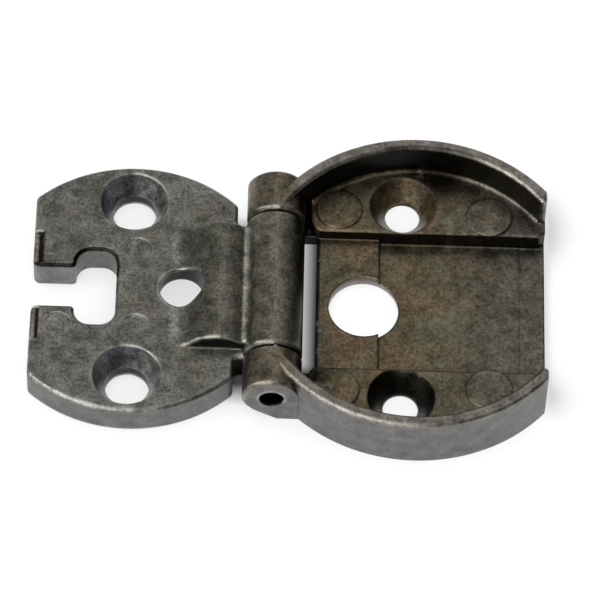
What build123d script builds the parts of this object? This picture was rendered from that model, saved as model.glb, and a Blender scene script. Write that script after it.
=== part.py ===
from build123d import *
import os
from math import acos, atan2, cos, degrees, hypot, sin, sqrt

# Furniture hinge: two die-cast zinc leaves turning on one steel pin, drawn open and flat.
# The round cup leaf drops into a drilled bore. The flat leaf folds over and nests in the cup.
# X runs from the flat leaf to the cup, Y runs along the pin, Z is up. Millimetres.
# The origin is the centre of the cup's circle, on its underside.

# Pin and barrel
pin_d = 2.5
pin_recess = 1.0  # pin end behind each ear's end face
pin_chamfer = 0.3
running_gap = 0.05  # radial, pin in the middle knuckle
barrel_d = 6.0
barrel_len = 26.0  # over both ears
knuckle_len = 16.2  # middle knuckle, cast with the flat leaf
knuckle_play = 0.2  # at each end of the middle knuckle
barrel_lift = 0.65  # barrel above the underside
foot_offset = 0.1  # pin axis to where a barrel's slanted foot meets the underside
barrel_edge = 0.3  # bevel round each end of a barrel

# Cup leaf
bore_d = 35.0  # bore that the cup drops into
rim_wall = 1.3
rim_h = 6.6
pin_inset = 3.0  # edge of the bore to the pin axis
open_cut = 4.2  # edge of the bore to the open end
land_t = 2.65  # screw lands on both sides of the channel
floor_t = 0.55  # thin channel floor towards the open end
hump_floor_t = 1.25  # thicker floor beside the barrel
floor_gap = 1.3  # barrel to the channel floor
floor_step = 7.75  # barrel to the step in the channel floor
end_strip = 2.6  # strip of the floor along the open end, a hair lower
end_drop = 0.06
land_gap = 0.65  # barrel to the near end of each land
cup_corner = 0.6
rim_tip = 0.4  # round on the acute end of each rim
land_bevel = 0.6  # across the open end of each land
dish_fillet = 0.4
rim_edge = 0.25  # bevel round the rim's top
land_edge = 0.25
land_corner = 1.2  # beside the barrel
cup_screw_d = 3.6
cup_sink_d = 6.9
cup_straight = 0.35  # straight part of the hole under its sink
cup_screw_x = 13.1  # from the pin axis
cup_screw_in = 4.5  # from the rim, across the cup
access_d = 7.2  # plain hole in the channel floor
access_x = 9.2  # from the pin axis
pad_d = 4.7  # ejector pads on the lands
pad_h = 0.15
pad_inner_x = 6.5  # from the pin axis
pad_inner_side = 2.65  # from the channel
pad_outer_x = 22.0
pad_outer_side = 2.2

# Flat leaf
nest_gap = 1.33  # round the flat leaf when it lies folded in the cup
plate_t = 3.65
leaf_cut = 4.62  # edge of the leaf's circle to the slotted end
barrel_gap = 0.95  # barrel to the plate's inner edge
leaf_corner = 0.8
web_corner = 0.6
plate_edge = 0.3  # bevels round the plate
plate_under_edge = 0.2
leaf_screw_d = 4.5
leaf_sink_d = 7.0
leaf_straight = 1.3  # straight part of the hole under its sink
leaf_screw_in = 4.32  # from the edge of the leaf's circle
leaf_screw_back = 0.15  # behind the middle of the leaf's circle
middle_hole_d = 4.55  # sunk from the underside
middle_sink_d = 8.0
middle_straight = 1.8
middle_hole_x = 9.45  # from the pin axis
hump_w = 14.1
hump_h = 2.0  # above the plate
hump_x = 5.5  # pin axis to the hump's crest
hump_r = 3.9
hump_foot_r = 2.2
hump_edge = 0.3
valley_r = 0.5  # between the hump and the knuckle
key_w = 4.2  # keyhole, open at the end of the plate
key_len = 8.95
key_r = 1.6
key_side = 0.5  # straight beside the neck
key_in = 6.5  # slotted end to the middle of the keyhole
key_corner = 0.44
mouth_corner = 0.7
ledge_w = 0.85  # trimmed casting gates beside the keyhole's mouth
ledge_len = 3.75
ledge_gap = 0.35  # from the keyhole's neck
ledge_depth = 0.6
mark_d = 2.7  # shallow ejector marks on the plate
mark_depth = 0.08
mark_inner_gap = 4.25  # from the middle of the keyhole, both sides
mark_outer_gap = 3.65
mark_y = 4.65

# Values worked out from the sizes above
cup_r = bore_d / 2
dish_r = cup_r - rim_wall
leaf_r = dish_r - nest_gap
barrel_r = barrel_d / 2
pin_offset = cup_r - pin_inset
pin_x = -pin_offset
pin_z = barrel_r + barrel_lift
pin_len = barrel_len - 2 * pin_recess
channel_w = knuckle_len + 2 * knuckle_play
ear_len = (barrel_len - channel_w) / 2
cup_reach = cup_r - open_cut
cup_screw_y = dish_r - cup_screw_in
foot_x = pin_x + foot_offset
floor_x = pin_x + barrel_r + floor_gap
step_x = pin_x + barrel_r + floor_step
end_x = cup_reach - end_strip
land_x = pin_x + barrel_r + land_gap
flare_x = cup_reach - land_bevel
tip_x = cup_reach - 2 * rim_tip
flare_w = channel_w + 2 * land_bevel
leaf_x = pin_x - pin_offset
leaf_reach = pin_offset + leaf_r - leaf_cut
leaf_screw_x = leaf_x - leaf_screw_back
leaf_screw_y = leaf_r - leaf_screw_in
leaf_left = pin_x - leaf_reach
leaf_right = pin_x - barrel_r - barrel_gap
web_right = pin_x - barrel_r / 2
leaf_span = leaf_right - leaf_left
web_span = web_right - leaf_right
past_all = bore_d + leaf_reach  # longer than any cut needs
key_x = leaf_left + key_in
key_left = key_x - key_w / 2
neck_w = key_len - 2 * (key_r + key_side)
hair = 0.01  # margin for picking corners

left_to_right = (Align.MIN, Align.CENTER)


def sink_angle(sink_d, hole_d, depth):
    """The cone angle of a screw hole's sink, from its two diameters and its depth."""
    return 2 * degrees(atan2((sink_d - hole_d) / 2, depth))


def barrel_profile(side):
    """A round barrel on the pin axis with a slanted foot down to the underside, side +1 or -1 of the axis."""
    foot = atan2(-pin_z, foot_offset) - acos(barrel_r / hypot(foot_offset, pin_z))
    touch = (side * barrel_r * cos(foot), pin_z + barrel_r * sin(foot))
    with Locations((pin_x, pin_z)):
        Circle(barrel_r)
    with Locations((pin_x, 0)):
        Polygon(
            (0, pin_z),
            touch,
            (side * foot_offset, 0),
            (side * barrel_r, 0),
            (side * barrel_r, pin_z),
            align=None,
        )


cup_sink = sink_angle(cup_sink_d, cup_screw_d, land_t - cup_straight)
leaf_sink = sink_angle(leaf_sink_d, leaf_screw_d, plate_t - leaf_straight)
middle_sink = sink_angle(middle_sink_d, middle_hole_d, plate_t - middle_straight)

# Ear of the cup leaf, one of two, with both ends bevelled
with BuildPart() as ear:
    with BuildSketch(Plane.XZ.offset(channel_w / 2)):
        barrel_profile(1)
    extrude(amount=ear_len)
    chamfer(ear.edges().filter_by(GeomType.CIRCLE), barrel_edge)

# Cup leaf: a dish with a rim on two sides, two screw lands, a channel and two ears
with BuildPart() as cup_leaf:
    with BuildSketch() as slab_outline:
        Circle(cup_r)
        with Locations((foot_x, 0)):
            Rectangle(cup_reach - foot_x, bore_d, align=left_to_right, mode=Mode.INTERSECT)
        fillet(slab_outline.vertices().group_by(Axis.X)[-1], cup_corner)
    extrude(amount=land_t)
    with BuildSketch() as rim_outline:
        Circle(cup_r)
        Circle(dish_r, mode=Mode.SUBTRACT)
        with Locations((foot_x, 0)):
            Rectangle(cup_reach - foot_x, bore_d, align=left_to_right, mode=Mode.INTERSECT)
        fillet(rim_outline.vertices().group_by(Axis.X)[-1].sort_by(Axis.Y)[0::3], cup_corner)
    extrude(amount=rim_h)
    dish_edges = cup_leaf.edges().filter_by_position(Axis.Z, land_t - hair, land_t + hair)
    dish_edges = dish_edges.filter_by(GeomType.CIRCLE)
    fillet(dish_edges.filter_by(lambda edge: abs(edge.radius - dish_r) < hair), dish_fillet)

    # Round the acute end of each rim, then the edges of the rim's top
    with BuildSketch(Plane.XY.offset(land_t)):
        with Locations((tip_x, 0)):
            Rectangle(cup_reach - tip_x, bore_d, align=left_to_right)
        with BuildSketch(mode=Mode.SUBTRACT) as round_ends:
            add(rim_outline.sketch)
            fillet(round_ends.vertices().group_by(Axis.X)[-1].sort_by(Axis.Y)[1:3], rim_tip)
    extrude(amount=rim_h, mode=Mode.SUBTRACT)
    chamfer(cup_leaf.faces().group_by(Axis.Z)[-1].edges().sort_by(Axis.X)[2:], rim_edge)

    # Groove between the ears and the lands, as deep as the thicker floor
    with BuildSketch(Plane.XY.offset(hump_floor_t)):
        Circle(dish_r)
        with Locations((foot_x, 0)):
            Rectangle(land_x - foot_x, bore_d, align=left_to_right, mode=Mode.INTERSECT)
    extrude(amount=rim_h, mode=Mode.SUBTRACT)

    # Channel with its floor levels, flared at the open end, and the gap that the knuckle turns in
    for level, start_x in ((hump_floor_t, foot_x), (floor_t, step_x), (floor_t - end_drop, end_x)):
        with BuildSketch(Plane.XY.offset(level)):
            Polygon(
                (start_x, -channel_w / 2),
                (flare_x, -channel_w / 2),
                (cup_reach, -flare_w / 2),
                (cup_reach, flare_w / 2),
                (flare_x, channel_w / 2),
                (start_x, channel_w / 2),
                align=None,
            )
        extrude(amount=rim_h, mode=Mode.SUBTRACT)
    land_edges = cup_leaf.edges().filter_by(Axis.X).filter_by_position(Axis.Z, land_t - hair, land_t + hair)
    fillet(land_edges, land_edge)
    with BuildSketch(Plane.XY.offset(hump_floor_t)):
        for side in (-1, 1):
            with Locations((land_x, side * channel_w / 2)):
                Rectangle(2 * land_corner, 2 * land_corner)
            with Locations((land_x + land_corner, side * (channel_w / 2 + land_corner))):
                Circle(land_corner, mode=Mode.SUBTRACT)
    extrude(amount=rim_h, mode=Mode.SUBTRACT)
    with BuildSketch():
        with Locations((foot_x, 0)):
            Rectangle(floor_x - foot_x, channel_w, align=left_to_right)
    extrude(amount=rim_h, mode=Mode.SUBTRACT)

    # Ejector pads stand a little above the lands
    with BuildSketch(Plane.XY.offset(land_t)):
        for pad_x, pad_side in ((pad_inner_x, pad_inner_side), (pad_outer_x, pad_outer_side)):
            pad_y = channel_w / 2 + pad_side
            with Locations((pin_x + pad_x, pad_y), (pin_x + pad_x, -pad_y)):
                Circle(pad_d / 2)
    extrude(amount=pad_h)

    # Both ears, then the bore that the pin is pressed into
    add(ear.part)
    mirror(ear.part, about=Plane.XZ)
    with BuildSketch(Plane.XZ):
        with Locations((pin_x, pin_z)):
            Circle(pin_d / 2)
    extrude(amount=barrel_len, both=True, mode=Mode.SUBTRACT)

    # Countersunk screw holes through the lands and the plain hole in the floor
    with Locations(
        (pin_x + cup_screw_x, cup_screw_y, land_t),
        (pin_x + cup_screw_x, -cup_screw_y, land_t),
    ):
        CounterSinkHole(cup_screw_d / 2, cup_sink_d / 2, counter_sink_angle=cup_sink)
    with Locations((pin_x + access_x, 0, rim_h)):
        Hole(access_d / 2)

# Hump of the flat leaf: a foot curve up from the plate, a rounded crest, then down into the knuckle
crest_z = plate_t + hump_h
hump_mid_z = crest_z - hump_r
foot_rise = plate_t + hump_foot_r - hump_mid_z
foot_run = sqrt((hump_r + hump_foot_r) ** 2 - foot_rise**2)
foot_turn = degrees(acos(foot_rise / (hump_r + hump_foot_r)))
crest_turn = foot_turn + degrees(acos((plate_t - hump_mid_z) / hump_r))
hump_start = (pin_x - hump_x - foot_run, plate_t)
with BuildPart() as hump:
    with BuildSketch(Plane.XZ):
        with BuildLine():
            foot_curve = JernArc(hump_start, (1, 0), hump_foot_r, foot_turn)
            crest_curve = JernArc(foot_curve @ 1, foot_curve % 1, hump_r, -crest_turn)
            Polyline(
                crest_curve @ 1,
                ((crest_curve @ 1).X, plate_t / 2),
                (hump_start[0], plate_t / 2),
                hump_start,
            )
        make_face()
        with Locations((pin_x, pin_z)):
            Circle(barrel_r)
    extrude(amount=hump_w / 2, both=True)
    valley = hump.edges().filter_by(Axis.Y).filter_by_position(Axis.X, pin_x - barrel_r, web_right)
    fillet(valley.sort_by(Axis.Z)[-1], valley_r)
    fillet(hump.edges().filter_by(GeomType.CIRCLE).sort_by(Axis.Z)[-2:], hump_edge)

# Middle knuckle of the flat leaf, with both ends bevelled
with BuildPart() as knuckle:
    with BuildSketch(Plane.XZ):
        barrel_profile(-1)
    extrude(amount=knuckle_len / 2, both=True)
    chamfer(knuckle.edges().filter_by(GeomType.CIRCLE), barrel_edge)

# Flat leaf: a slotted plate whose circle lies concentric with the cup when folded
with BuildPart() as flat_leaf:
    with BuildSketch() as leaf_outline:
        with Locations((leaf_x, 0)):
            Circle(leaf_r)
        with Locations((leaf_left, 0)):
            Rectangle(leaf_span, 2 * leaf_r, align=left_to_right, mode=Mode.INTERSECT)
        fillet(leaf_outline.vertices(), leaf_corner)
        with Locations((leaf_right, 0)):
            Rectangle(web_span, knuckle_len, align=left_to_right)
        web_corners = leaf_outline.vertices().filter_by_position(Axis.X, leaf_right - hair, leaf_right + hair)
        fillet(web_corners.sort_by(Axis.Y)[1:3], web_corner)
        with BuildSketch(mode=Mode.SUBTRACT):
            with Locations((key_x, 0)):
                RectangleRounded(key_w, key_len, key_r)
                Rectangle(past_all, neck_w, align=(Align.MAX, Align.CENTER))
        key_corners = leaf_outline.vertices().filter_by_position(Axis.X, key_left - hair, key_left + hair)
        fillet(key_corners.sort_by(Axis.Y)[1:3], key_corner)
        fillet(leaf_outline.vertices().group_by(Axis.X)[0].sort_by(Axis.Y)[1:3], mouth_corner)
    extrude(amount=plate_t)
    chamfer(flat_leaf.faces().sort_by(Axis.Z)[-1].edges(), plate_edge)
    chamfer(flat_leaf.faces().sort_by(Axis.Z)[0].edges(), plate_under_edge)

    # Trimmed casting gates on both sides of the keyhole's mouth
    with BuildSketch(Plane.XY.offset(plate_t - ledge_depth)):
        for side in (-1, 1):
            with Locations((leaf_left, side * ((neck_w + ledge_len) / 2 + ledge_gap))):
                Rectangle(ledge_w, ledge_len, align=left_to_right)
    extrude(amount=ledge_depth, mode=Mode.SUBTRACT)

    # Shallow round ejector marks
    with BuildSketch(Plane.XY.offset(plate_t - mark_depth)):
        with Locations(
            (key_x + mark_inner_gap, mark_y),
            (key_x + mark_inner_gap, -mark_y),
            (key_x - mark_outer_gap, -mark_y),
        ):
            Circle(mark_d / 2)
    extrude(amount=mark_depth, mode=Mode.SUBTRACT)

    # Middle knuckle on the end of the web, and the hump
    add(knuckle.part)
    add(hump.part)
    with BuildSketch(Plane.XZ):
        with Locations((pin_x, pin_z)):
            Circle(pin_d / 2 + running_gap)
    extrude(amount=knuckle_len, both=True, mode=Mode.SUBTRACT)

    # Two screw holes sunk from the top and the middle hole sunk from the underside
    with Locations((leaf_screw_x, leaf_screw_y, plate_t), (leaf_screw_x, -leaf_screw_y, plate_t)):
        CounterSinkHole(leaf_screw_d / 2, leaf_sink_d / 2, counter_sink_angle=leaf_sink)
    with Locations(Location((pin_x - middle_hole_x, 0, 0), (180, 0, 0))):
        CounterSinkHole(middle_hole_d / 2, middle_sink_d / 2, counter_sink_angle=middle_sink)

# Steel pin, pressed into both ears
with BuildPart() as hinge_pin:
    with BuildSketch(Plane.XZ):
        with Locations((pin_x, pin_z)):
            Circle(pin_d / 2)
    extrude(amount=pin_len / 2, both=True)
    chamfer(hinge_pin.edges().filter_by(GeomType.CIRCLE), pin_chamfer)

cup_leaf.part.label = "cup_leaf"
flat_leaf.part.label = "flat_leaf"
hinge_pin.part.label = "hinge_pin"

os.makedirs("parts", exist_ok=True)
export_step(cup_leaf.part, "parts/cup_leaf.step")
export_step(flat_leaf.part, "parts/flat_leaf.step")
export_step(hinge_pin.part, "parts/hinge_pin.step")
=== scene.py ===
import math

import bpy
from mathutils import Matrix, Vector


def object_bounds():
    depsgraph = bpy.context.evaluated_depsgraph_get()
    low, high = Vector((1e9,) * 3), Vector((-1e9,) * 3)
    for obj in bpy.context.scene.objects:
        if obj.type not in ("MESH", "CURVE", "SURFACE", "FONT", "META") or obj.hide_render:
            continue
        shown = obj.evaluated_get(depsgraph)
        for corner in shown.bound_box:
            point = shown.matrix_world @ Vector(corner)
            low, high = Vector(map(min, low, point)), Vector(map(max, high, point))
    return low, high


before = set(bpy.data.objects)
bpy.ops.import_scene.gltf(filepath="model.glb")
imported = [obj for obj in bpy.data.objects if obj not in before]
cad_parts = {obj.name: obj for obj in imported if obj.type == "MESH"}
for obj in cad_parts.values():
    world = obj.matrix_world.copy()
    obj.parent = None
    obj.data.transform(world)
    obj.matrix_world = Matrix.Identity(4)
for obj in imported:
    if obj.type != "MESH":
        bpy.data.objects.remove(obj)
cad_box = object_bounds()


# Cup leaf
# A round die-cast zinc dish with two screw lands, a channel between them and the two ears of the barrel.
# It is cast in one shot and left as it came from the die, only tumbled, so its edges are rubbed bright; the
# bright edges are partly painted highlights.

mm = 0.001

# Widths of the patterns in the zinc. The real cast grain is finer and is drawn as coarse as it needs to show.
patch_width = 5.0 * mm
smudge_width = 2.4 * mm
cloud_width = 1.6 * mm
line_width = 0.4 * mm
line_stretch = (0.12, 0.12, 1.0)
grain_width = 0.33 * mm
grain_depth = 0.03 * mm

# Rounding of the edges, and how far the bright rubbed edges, partly painted highlight, and the dark corners,
# painted shade with some dirt, reach from an edge or a corner
edge_radius = 0.4 * mm
rub_and_highlight_reach = 0.5 * mm
dirt_and_shade_reach = 0.4 * mm


def linear(code):
    """An sRGB hex colour as linear RGBA: each channel is undone by the sRGB curve."""
    channels = [int(code[i:i + 2], 16) / 255 for i in (1, 3, 5)]
    curve = [c / 12.92 if c <= 0.04045 else ((c + 0.055) / 1.055) ** 2.4 for c in channels]
    return (*curve, 1.0)


def add(tree, kind, inputs, **settings):
    """Adds one node with its own settings. An input is a value to set, a socket to link, or a node, whose
    first output in use is linked."""
    node = tree.nodes.new(kind)
    for key, value in settings.items():
        setattr(node, key, value)
    for key, value in inputs.items():
        if isinstance(value, bpy.types.Node):
            value = next(socket for socket in value.outputs if socket.enabled)
        if isinstance(value, bpy.types.NodeSocket):
            tree.links.new(value, node.inputs[key])
        else:
            node.inputs[key].default_value = value
    return node


def lay_tints(tree, colour, tints):
    """Lays tints over a colour, each on those before it. A tint is a hex code, its greatest share, and the
    limits of its place: a measure, the value at which the tint starts and the value at which it is full.
    The ramps of all its limits are multiplied."""
    for code, share, limits in tints:
        for measure, start, full in limits:
            share = add(tree, "ShaderNodeMapRange",
                        {"Value": measure, "From Min": start, "From Max": full, "To Max": share})
        colour = add(tree, "ShaderNodeMix",
                     {"Factor": share, "A": colour, "B": linear(code)}, data_type="RGBA")
    return colour


def cast_zinc(name, ground, patch, leaf_colours):
    """Die-cast zinc, tumbled and then tarnished: a dull metal in patches of two colours, under the tints of
    its own leaf, with a fine cast grain, soft cloudy stains, edges rubbed bright that are partly painted
    highlights, and tight corners darkened as painted shade with some dirt.
    Upright walls, which slid out of the die, are smoother than the faces that lay in it and faintly lined."""
    material = bpy.data.materials.new(name)
    material.use_nodes = True
    tree = material.node_tree
    tree.nodes.clear()
    place = add(tree, "ShaderNodeTexCoord", {}).outputs["Object"]

    # The tilt is 1 on a level face and 0 on an upright wall
    facing = add(tree, "ShaderNodeNewGeometry", {}).outputs["True Normal"]
    facing = add(tree, "ShaderNodeVectorTransform", {"Vector": facing},
                 vector_type="NORMAL", convert_from="WORLD", convert_to="OBJECT")
    facing = add(tree, "ShaderNodeSeparateXYZ", {"Vector": facing})
    tilt = add(tree, "ShaderNodeMath", {0: facing.outputs["Z"]}, operation="ABSOLUTE")
    upright = add(tree, "ShaderNodeMapRange", {"Value": tilt, "From Min": 0.35, "From Max": 0.1})

    patches = add(tree, "ShaderNodeTexNoise",
                  {"Vector": place, "Scale": 1 / patch_width, "Detail": 4.0, "Roughness": 0.6})
    patches = add(tree, "ShaderNodeMapRange", {"Value": patches, "From Min": 0.4, "From Max": 0.62})
    colour = add(tree, "ShaderNodeMix",
                 {"Factor": patches, "A": linear(ground), "B": linear(patch)}, data_type="RGBA")
    colour, rub_and_highlight = leaf_colours(tree, place, colour, tilt, upright)

    # Clouds and grain lighten and darken the faces, and fainter clouds and level lines do so on the walls
    clouds = add(tree, "ShaderNodeTexNoise",
                 {"Vector": place, "Scale": 1 / cloud_width, "Detail": 3.0, "Roughness": 0.6})
    grain = add(tree, "ShaderNodeTexNoise",
                {"Vector": place, "Scale": 1 / grain_width, "Detail": 3.0, "Roughness": 0.65})
    lines = add(tree, "ShaderNodeVectorMath", {0: place, 1: line_stretch}, operation="MULTIPLY")
    lines = add(tree, "ShaderNodeTexNoise", {"Vector": lines, "Scale": 1 / line_width, "Detail": 2.0})
    wall = colour
    for pattern, least, most in ((clouds, 0.58, 1.42), (grain, 0.54, 1.46)):
        shade = add(tree, "ShaderNodeMapRange",
                    {"Value": pattern, "From Min": 0.33, "From Max": 0.67, "To Min": least, "To Max": most})
        colour = add(tree, "ShaderNodeVectorMath", {0: colour, 1: shade}, operation="MULTIPLY")
    for pattern, least, most in ((clouds, 0.84, 1.16), (lines, 0.94, 1.06)):
        shade = add(tree, "ShaderNodeMapRange",
                    {"Value": pattern, "From Min": 0.35, "From Max": 0.65, "To Min": least, "To Max": most})
        wall = add(tree, "ShaderNodeVectorMath", {0: wall, 1: shade}, operation="MULTIPLY")

    # Pale smudges lie on the faces, and the walls keep a little of the faces' grain
    smudges = add(tree, "ShaderNodeTexNoise",
                  {"Vector": place, "Scale": 1 / smudge_width, "Detail": 5.0, "Roughness": 0.7})
    colour = lay_tints(tree, colour, (("#8a857c", 0.6, ((smudges, 0.57, 0.72),)),))
    smooth = add(tree, "ShaderNodeMath", {0: upright, 1: 0.7}, operation="MULTIPLY")
    colour = add(tree, "ShaderNodeMix", {"Factor": smooth, "A": colour, "B": wall}, data_type="RGBA")

    # Tumbling rubs the outer edges bright, here and there more than elsewhere, where the stones reach them;
    # the bright edges are partly painted highlights. Tight corners of the casting are painted dark, as shade
    # with some dirt.
    inside = add(tree, "ShaderNodeAmbientOcclusion", {"Distance": rub_and_highlight_reach}, inside=True, samples=8)
    outside = add(tree, "ShaderNodeAmbientOcclusion", {"Distance": dirt_and_shade_reach}, only_local=True, samples=8)
    uneven = add(tree, "ShaderNodeMapRange",
                 {"Value": clouds, "From Min": 0.35, "From Max": 0.65, "To Min": 0.2, "To Max": 1.0})
    rub_and_highlight = add(tree, "ShaderNodeMath", {0: rub_and_highlight, 1: uneven}, operation="MULTIPLY")
    colour = lay_tints(tree, colour, (
        ("#c0beb8", rub_and_highlight, ((inside.outputs["AO"], 0.93, 0.7),)),
        ("#12100c", 0.95, ((outside.outputs["AO"], 0.74, 0.42),)),
    ))

    rough = add(tree, "ShaderNodeMapRange",
                {"Value": clouds, "From Min": 0.3, "From Max": 0.7, "To Min": 0.33, "To Max": 0.45})
    rounded = add(tree, "ShaderNodeBevel", {"Radius": edge_radius}, samples=8)
    bump = add(tree, "ShaderNodeBump",
               {"Height": grain, "Strength": 0.5, "Distance": grain_depth, "Normal": rounded})
    shader = add(tree, "ShaderNodeBsdfPrincipled",
                 {"Base Color": colour, "Metallic": 0.95, "Roughness": rough, "Normal": bump})
    add(tree, "ShaderNodeOutputMaterial", {"Surface": shader})
    return material


def cup_colours(tree, place, colour, tilt, upright):
    """Greyer towards the dish's open end, dark olive on the ears, grey on the rim and the outer walls, and
    painted nearly black as shade on the walls inside the dish, in the pin's bore, in one sink, in the groove
    by the ears and on the floor's edge at the gap, with painted shade too in the corner by the near ear, on
    the far rim's inner lip and on the land below it.
    The second result is how far tumbling rubs the edges bright, partly as painted highlight: it hardly
    reaches down into the dish."""
    x, y, z = add(tree, "ShaderNodeSeparateXYZ", {"Vector": place}).outputs
    level = add(tree, "ShaderNodeVectorMath", {0: place, 1: (1.0, 1.0, 0.0)}, operation="MULTIPLY")
    radius = add(tree, "ShaderNodeVectorMath", {0: level}, operation="LENGTH")
    across = add(tree, "ShaderNodeVectorMath", {0: place, 1: (1.0, 0.0, 1.0)}, operation="MULTIPLY")
    pin_line = (-14.5 * mm, 0.0, 3.65 * mm)
    from_pin = add(tree, "ShaderNodeVectorMath", {0: across, 1: pin_line}, operation="DISTANCE")
    ear_corner = (-11.5 * mm, -9.5 * mm, 2.65 * mm)
    far_lip = (1.5 * mm, 16.3 * mm, 6.6 * mm)
    far_land = (2.2 * mm, 15.8 * mm, 2.65 * mm)
    access_hole = (-5.3 * mm, 0.0, 0.6 * mm)
    from_corner, from_lip, from_land, from_access = [
        add(tree, "ShaderNodeVectorMath", {0: place, 1: point}, operation="DISTANCE")
        for point in (ear_corner, far_lip, far_land, access_hole)]
    groove_middle, groove_half = -11.75 * mm, 0.85 * mm
    in_groove = add(tree, "ShaderNodeMath", {0: x, 1: groove_middle, 2: groove_half}, operation="COMPARE")
    shaded_lip = ((from_lip, 7.0 * mm, 4.0 * mm), (radius, 16.75 * mm, 16.5 * mm))
    in_access = (from_access, 4.1 * mm, 3.9 * mm)

    colour = lay_tints(tree, colour, (
        # The open end
        ("#605d55", 0.9, ((x, 1.0 * mm, 11.0 * mm),)),
        # Painted shade in the corner beside the near ear
        ("#17140e", 1.0, ((from_corner, 4.5 * mm, 1.5 * mm),)),
        # Ears, and the top of the rim past them
        ("#6a6253", 1.0, ((z, 3.0 * mm, 3.6 * mm),)),
        ("#7a756c", 1.0, ((x, -12.6 * mm, -12.0 * mm), (z, 6.1 * mm, 6.4 * mm))),
        # Painted shade on the inner lip of the far rim, and on the land below it
        ("#1c1a16", 0.85, shaded_lip),
        ("#17140e", 0.85, ((from_land, 3.4 * mm, 1.4 * mm),)),
        # The near sink, painted dark as shade
        ("#2a2721", 1.0, ((tilt, 0.68, 0.6), (y, -8.0 * mm, -8.5 * mm), (z, 2.75 * mm, 2.65 * mm))),
        # Painted shade in the groove between the ears and the lands, but not on its underside
        ("#0d0b08", in_groove, ((z, 5.9 * mm, 5.3 * mm), (z, 0.02 * mm, 0.1 * mm))),
        # Painted shade on the edge of the channel floor at the gap
        ("#14120d", 1.0, ((x, -9.75 * mm, -9.95 * mm), (z, 1.5 * mm, 1.4 * mm))),
    ))
    # Walls inside the dish are painted nearly black as shade; the outside of the cup and the access hole are
    # lighter
    wall = lay_tints(tree, linear("#1c1915"), (
        # The outside of the cup
        ("#716f6d", 1.0, ((radius, 16.4 * mm, 17.0 * mm),)),
        # The access hole, browner towards its top
        ("#8f8788", 1.0, (in_access,)),
        ("#5f564c", 1.0, (in_access, (z, 0.2 * mm, 0.9 * mm))),
    ))
    colour = add(tree, "ShaderNodeMix", {"Factor": upright, "A": colour, "B": wall}, data_type="RGBA")
    # Painted shade in the pin's bore
    colour = lay_tints(tree, colour, (("#0e0d0b", 1.0, ((from_pin, 1.35 * mm, 1.28 * mm),)),))

    rub_and_highlight = add(tree, "ShaderNodeMapRange",
                  {"Value": z, "From Min": 2.7 * mm, "From Max": 3.6 * mm, "To Min": 0.05})
    rub_and_highlight = lay_tints(tree, rub_and_highlight, (("#000000", 0.85, shaded_lip),))
    return colour, rub_and_highlight


cup_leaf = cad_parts["cup_leaf"]
cup_leaf.material_slots[0].material = cast_zinc(
    "tarnished_cast_zinc_cup", "#6e5e4a", "#5b5845", cup_colours)


# Flat leaf
# The slotted plate with its raised hump and the middle knuckle, die-cast from the same zinc.
# It turns on the pin between the ears and folds over into the cup.


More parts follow.
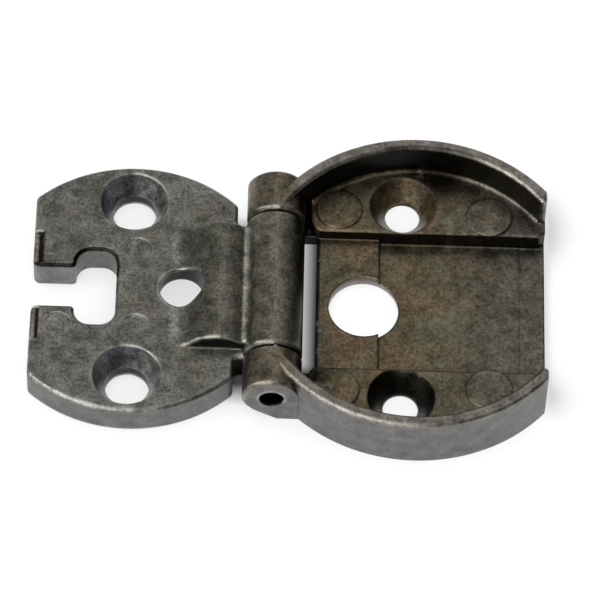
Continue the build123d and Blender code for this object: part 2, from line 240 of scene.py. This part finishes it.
def flat_colours(tree, place, colour, tilt, upright):
    """Paler ejector marks on the plate, olive on the hump and the knuckle, with painted highlights in the
    valley between them and along the foot of the hump, blue-grey sinks that are paler towards the hump as
    painted light, pale on the outer walls, and painted shade in the holes, on the ends of the hump, the sides
    of the web, the ends and flank of the knuckle, the gates and the slanted far edges of the keyhole.
    The second result is how much the edges are rubbed bright, partly as painted highlight: not on the gates'
    ledges, which were cut after tumbling, nor on the slanted far edges painted as shade."""
    x, y, z = add(tree, "ShaderNodeSeparateXYZ", {"Vector": place}).outputs
    side = add(tree, "ShaderNodeMath", {0: y}, operation="ABSOLUTE")
    valley_line, hump_foot = -17.34 * mm, -24.6 * mm
    offsets = [add(tree, "ShaderNodeMath", {0: x, 1: line}, operation="SUBTRACT")
               for line in (valley_line, hump_foot)]
    from_valley, from_foot = [add(tree, "ShaderNodeMath", {0: offset}, operation="ABSOLUTE")
                              for offset in offsets]

    # Distances from the screw holes to both sides and from the middle hole, with x and y without their signs
    unsigned = add(tree, "ShaderNodeVectorMath", {0: place}, operation="ABSOLUTE")
    unsigned = add(tree, "ShaderNodeVectorMath", {0: unsigned, 1: (1.0, 1.0, 0.0)}, operation="MULTIPLY")
    screw_hole = (29.15 * mm, 10.55 * mm, 0.0)
    middle_hole = (23.95 * mm, 0.0, 0.0)
    from_screw, from_middle = [
        add(tree, "ShaderNodeVectorMath", {0: unsigned, 1: point}, operation="DISTANCE")
        for point in (screw_hole, middle_hole)]

    # The gates' ledges lie below the plate's top at its end, to both sides of the keyhole's neck
    ledge_height, ledge_half = 3.1 * mm, 0.25 * mm
    ledge_side, ledge_width = 4.6 * mm, 1.9 * mm
    at_ledge = add(tree, "ShaderNodeMath", {0: z, 1: ledge_height, 2: ledge_half}, operation="COMPARE")
    by_neck = add(tree, "ShaderNodeMath", {0: side, 1: ledge_side, 2: ledge_width}, operation="COMPARE")
    ledge = (x, -38.3 * mm, -38.45 * mm)
    sunk = ((tilt, 0.62, 0.52), (z, 3.72 * mm, 3.66 * mm))
    raised = (z, 3.7 * mm, 4.6 * mm)
    shaded_far_slants = ((x, -30.2 * mm, -30.6 * mm), (y, 1.0 * mm, 1.5 * mm), (side, 6.6 * mm, 6.4 * mm))

    colour = lay_tints(tree, colour, (
        # Ejector marks, a little below the plate's top
        ("#7a7a76", 1.0, ((z, 3.63 * mm, 3.60 * mm),)),
        # Sinks, blue-grey as painted light, and paler on the side towards the hump
        ("#6c6c72", 1.0, sunk),
        ("#8e8e8a", 1.0, (*sunk, (x, -29.6 * mm, -26.6 * mm))),
        # Hump and knuckle, then painted highlights in the valley between them and along the foot of the hump
        ("#66645a", 1.0, (raised,)),
        ("#726f61", 1.0, ((x, -17.4 * mm, -17.0 * mm),)),
        ("#a2a096", 1.0, (raised, (from_valley, 0.5 * mm, 0.2 * mm))),
        ("#8a8a84", 1.0, ((from_foot, 0.7 * mm, 0.3 * mm), (side, 7.1 * mm, 6.4 * mm))),
        # The gates' inner edges and their ledges, painted dark as shade by the step, and the pale rims of the
        # ledges
        ("#2c281c", by_neck, ((x, -38.0 * mm, -38.3 * mm), (z, 2.8 * mm, 3.0 * mm))),
        ("#2a2114", at_ledge, (ledge,)),
        ("#8f8d80", at_ledge, (ledge, (x, -38.7 * mm, -38.95 * mm))),
        # Painted shade on the knuckle's flank over the gap, apart from its near end
        ("#1a1812", 0.9, ((x, -12.8 * mm, -11.9 * mm), (y, -7.4 * mm, -6.2 * mm))),
    ))
    wall = lay_tints(tree, linear("#6f6e6c"), (
        # The keyhole's neck
        ("#7c7b7b", 1.0, ((x, -34.6 * mm, -35.2 * mm), (side, 3.4 * mm, 3.0 * mm))),
        # The ends of the hump, painted near black as shade
        ("#0e0d0c", 1.0, ((z, 3.7 * mm, 3.9 * mm),)),
        # The holes, painted dark as shade
        ("#2c2b2e", 1.0, ((from_screw, 2.6 * mm, 2.4 * mm),)),
        ("#2c2b2e", 1.0, ((from_middle, 2.6 * mm, 2.4 * mm),)),
        # Painted shade on the sides of the web and the ends of the knuckle
        ("#0e0d0f", 1.0, ((x, -19.0 * mm, -18.6 * mm),)),
        ("#2e2c24", 1.0, ((x, -17.2 * mm, -16.8 * mm),)),
    ))
    colour = add(tree, "ShaderNodeMix", {"Factor": upright, "A": colour, "B": wall}, data_type="RGBA")
    # Painted shade on the edges of the keyhole's far side and of the far gate, which are neither level nor
    # upright
    colour = lay_tints(tree, colour, (("#24231f", 1.0, (*shaded_far_slants, (tilt, 0.95, 0.85), (tilt, 0.1, 0.35))),))
    rub_and_highlight = lay_tints(tree, linear("#ffffff"), (("#000000", 1.0, shaded_far_slants), ("#000000", at_ledge, (ledge,))))
    return colour, rub_and_highlight


flat_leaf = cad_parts["flat_leaf"]
flat_leaf.material_slots[0].material = cast_zinc(
    "tarnished_cast_zinc_leaf", "#757570", "#6b6960", flat_colours)


# Hinge pin
# A plain steel pin, drawn to size and cut to length.
# It is pressed into both ears and sunk a little below their ends.

# Drawn steel that lies in a dark bore: painted a dark metal as the bore's shade, evenly shiny and faintly
# mottled by old oil
mottle_width = 0.6 * mm
drawn_steel = bpy.data.materials.new("drawn_steel")
drawn_steel.use_nodes = True
pin_tree = drawn_steel.node_tree
pin_tree.nodes.clear()
pin_place = add(pin_tree, "ShaderNodeTexCoord", {}).outputs["Object"]
mottle = add(pin_tree, "ShaderNodeTexNoise", {"Vector": pin_place, "Scale": 1 / mottle_width, "Detail": 3.0})
pin_colour = add(pin_tree, "ShaderNodeMix",
                 {"Factor": mottle, "A": linear("#1a1918"), "B": linear("#3c3a38")}, data_type="RGBA")
pin_shader = add(pin_tree, "ShaderNodeBsdfPrincipled",
                 {"Base Color": pin_colour, "Metallic": 1.0, "Roughness": 0.4})
add(pin_tree, "ShaderNodeOutputMaterial", {"Surface": pin_shader})
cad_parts["hinge_pin"].material_slots[0].material = drawn_steel


# Table and light
# A plain white table, a soft lamp overhead, a large pale screen with a lamp behind, and a long strip of light
# in front to the left, in a dim room.

table_half = 2.0
table_drop = 0.02 * mm
table_top = cad_box[0][2] - table_drop
table_mesh = bpy.data.meshes.new("table")
table_mesh.from_pydata([(-table_half, -table_half, table_top), (table_half, -table_half, table_top),
                        (table_half, table_half, table_top), (-table_half, table_half, table_top)],
                       [], [(0, 1, 2, 3)])
table = bpy.data.objects.new("table", table_mesh)
bpy.context.scene.collection.objects.link(table)

# Matt white paint: it glows white to the camera and in reflections, and lights the hinge as white paint does
white_paint = bpy.data.materials.new("matt_white_paint")
white_paint.use_nodes = True
white_tree = white_paint.node_tree
white_tree.nodes.clear()
ray = add(white_tree, "ShaderNodeLightPath", {})
seen = ray.outputs["Is Camera Ray"]
for kind_of_ray in ("Is Glossy Ray", "Is Transmission Ray"):
    seen = add(white_tree, "ShaderNodeMath", {0: seen, 1: ray.outputs[kind_of_ray]}, operation="MAXIMUM")
matt = add(white_tree, "ShaderNodeBsdfDiffuse", {"Color": linear("#e0e0e0")})
faint = add(white_tree, "ShaderNodeBsdfDiffuse", {"Color": linear("#404040")})

# The glow dims where the hinge hides the back left, low on the left or all round
spot = add(white_tree, "ShaderNodeTexCoord", {}).outputs["Object"]
spot_x, spot_y = add(white_tree, "ShaderNodeSeparateXYZ", {"Vector": spot}).outputs[:2]
spot_side = add(white_tree, "ShaderNodeMath", {0: spot_y}, operation="ABSOLUTE")
back_left = add(white_tree, "ShaderNodeAmbientOcclusion",
                {"Distance": 12.0 * mm, "Normal": (-0.6, 0.25, 0.76)}, samples=16).outputs["AO"]
low_left = add(white_tree, "ShaderNodeAmbientOcclusion",
               {"Distance": 5.0 * mm, "Normal": (-0.9, -0.1, 0.42)}, samples=16).outputs["AO"]
all_round = add(white_tree, "ShaderNodeAmbientOcclusion", {"Distance": 4.0 * mm}, samples=16).outputs["AO"]
gap_middle, gap_half = -10.9 * mm, 1.2 * mm
in_gap = add(white_tree, "ShaderNodeMath", {0: spot_x, 1: gap_middle, 2: gap_half}, operation="COMPARE")
gap_end = (spot_side, 8.8 * mm, 8.5 * mm)
web_foot = (18.0 * mm, 7.6 * mm, 0.0)
unsigned_spot = add(white_tree, "ShaderNodeVectorMath", {0: spot}, operation="ABSOLUTE")
from_web = add(white_tree, "ShaderNodeVectorMath", {0: unsigned_spot, 1: web_foot}, operation="DISTANCE")
shade = add(white_tree, "ShaderNodeMapRange",
            {"Value": back_left, "From Min": 0.15, "From Max": 0.7, "To Min": 0.7, "To Max": 1.0})
shade = lay_tints(white_tree, shade, (
    # Painted shadow in the gap beside the barrel, darker at its near end and along the channel floor
    ("#b3b3b3", in_gap, (gap_end,)),
    ("#272727", in_gap, (gap_end, (spot_y, -6.4 * mm, -7.6 * mm))),
    ("#454545", in_gap, (gap_end, (spot_x, -11.4 * mm, -10.3 * mm))),
    # The notches beside the ears; this shade fades, but doesn't vanish, when the flat leaf is folded away
    ("#000000", 0.95, ((all_round, 0.5, 0.35), (from_web, 4.2 * mm, 1.4 * mm))),
    # Painted shadow beside the ends of the rim
    ("#000000", 0.36, ((spot_x, 12.4 * mm, 14.0 * mm), (spot_y, -13.0 * mm, -9.5 * mm),
                       (low_left, 0.97, 0.75))),
))
glow = add(white_tree, "ShaderNodeEmission", {"Color": shade, "Strength": 1.0})
bright = add(white_tree, "ShaderNodeAddShader", {0: faint, 1: glow})
shown = add(white_tree, "ShaderNodeMixShader", {0: seen, 1: matt, 2: bright})

# From below the table is clear, so that the undersides of the leaves can be seen
below = add(white_tree, "ShaderNodeNewGeometry", {}).outputs["Backfacing"]
clear = add(white_tree, "ShaderNodeBsdfTransparent", {})
shown = add(white_tree, "ShaderNodeMixShader", {0: below, 1: shown, 2: clear})
add(white_tree, "ShaderNodeOutputMaterial", {"Surface": shown})
table_mesh.materials.append(white_paint)

# The room by direction: the screen brightens to the back and upwards and fades at its left and right ends
world = bpy.data.worlds.new("room")
world.use_nodes = True
room_tree = world.node_tree
room_tree.nodes.clear()
way = add(room_tree, "ShaderNodeTexCoord", {}).outputs["Generated"]
way = add(room_tree, "ShaderNodeSeparateXYZ", {"Vector": way})
screen = 1.0
for axis, start, end, first, last in (("Y", -0.5, 0.5, 0.05, 0.5), ("Z", 0.0, 0.4, 0.12, 1.0),
                                      ("X", -0.85, -0.1, 0.7, 1.0), ("X", 0.4, 0.75, 1.0, 0.3)):
    level = add(room_tree, "ShaderNodeMapRange",
                {"Value": way.outputs[axis], "From Min": start, "From Max": end,
                 "To Min": first, "To Max": last})
    screen = add(room_tree, "ShaderNodeMath", {0: screen, 1: level}, operation="MULTIPLY")

# The strip lies between two heights, to the left and in front
strip = 6.0
for axis, dark, lit in (("Z", 0.32, 0.44), ("Z", 0.75, 0.6), ("X", 0.2, -0.2), ("Y", 0.1, -0.1)):
    strip = add(room_tree, "ShaderNodeMapRange",
                {"Value": way.outputs[axis], "From Min": dark, "From Max": lit, "To Max": strip})
strength = add(room_tree, "ShaderNodeMath", {0: screen, 1: strip}, operation="ADD")
room_ray = add(room_tree, "ShaderNodeLightPath", {})
strength = add(room_tree, "ShaderNodeMix",
               {"Factor": room_ray.outputs["Is Camera Ray"], "A": strength, "B": 1.0})
sky = add(room_tree, "ShaderNodeBackground", {"Color": linear("#ffffff"), "Strength": strength})
add(room_tree, "ShaderNodeOutputWorld", {"Surface": sky})
bpy.context.scene.world = world


def soft_lamp(name, place, size, radiance):
    """A square area lamp at a place, aimed at the middle of the hinge; power = radiance * pi * area."""
    lamp = bpy.data.lights.new(name, "AREA")
    lamp.size = size
    lamp.energy = radiance * math.pi * size * size
    holder = bpy.data.objects.new(name, lamp)
    aim = (Vector(cad_box[0]) + Vector(cad_box[1])) / 2
    holder.rotation_euler = (Vector(place) - aim).to_track_quat("Z", "Y").to_euler()
    holder.location = place
    bpy.context.scene.collection.objects.link(holder)


soft_lamp("overhead_lamp", place=(-0.10, -0.12, 0.58), size=0.2, radiance=6.0)
soft_lamp("back_lamp", place=(0.05, 0.40, 0.55), size=0.25, radiance=0.75)


# Camera
# It stands in front and above, as for the photograph, with a long lens.
# It is turned about the upright, tilted up from looking straight down and rolled, in degrees.

view_aim = Vector((-11.814, 1.399, 0)) * mm
view_distance = 493.96 * mm
view_turn, view_tilt, view_roll = -0.96613, 33.13636, 2.52803
lens = bpy.data.cameras.new("camera")
lens.sensor_width = 36.0
lens.lens = 288.128
lens.clip_start = 10.0 * mm
camera = bpy.data.objects.new("camera", lens)
camera.matrix_world = (Matrix.Translation(view_aim)
                       @ Matrix.Rotation(math.radians(view_turn), 4, "Z")
                       @ Matrix.Rotation(math.radians(view_tilt), 4, "X")
                       @ Matrix.Rotation(math.radians(view_roll), 4, "Z")
                       @ Matrix.Translation((0, 0, view_distance)))
bpy.context.scene.collection.objects.link(camera)
bpy.context.scene.camera = camera
bpy.context.scene.view_settings.view_transform = "Standard"
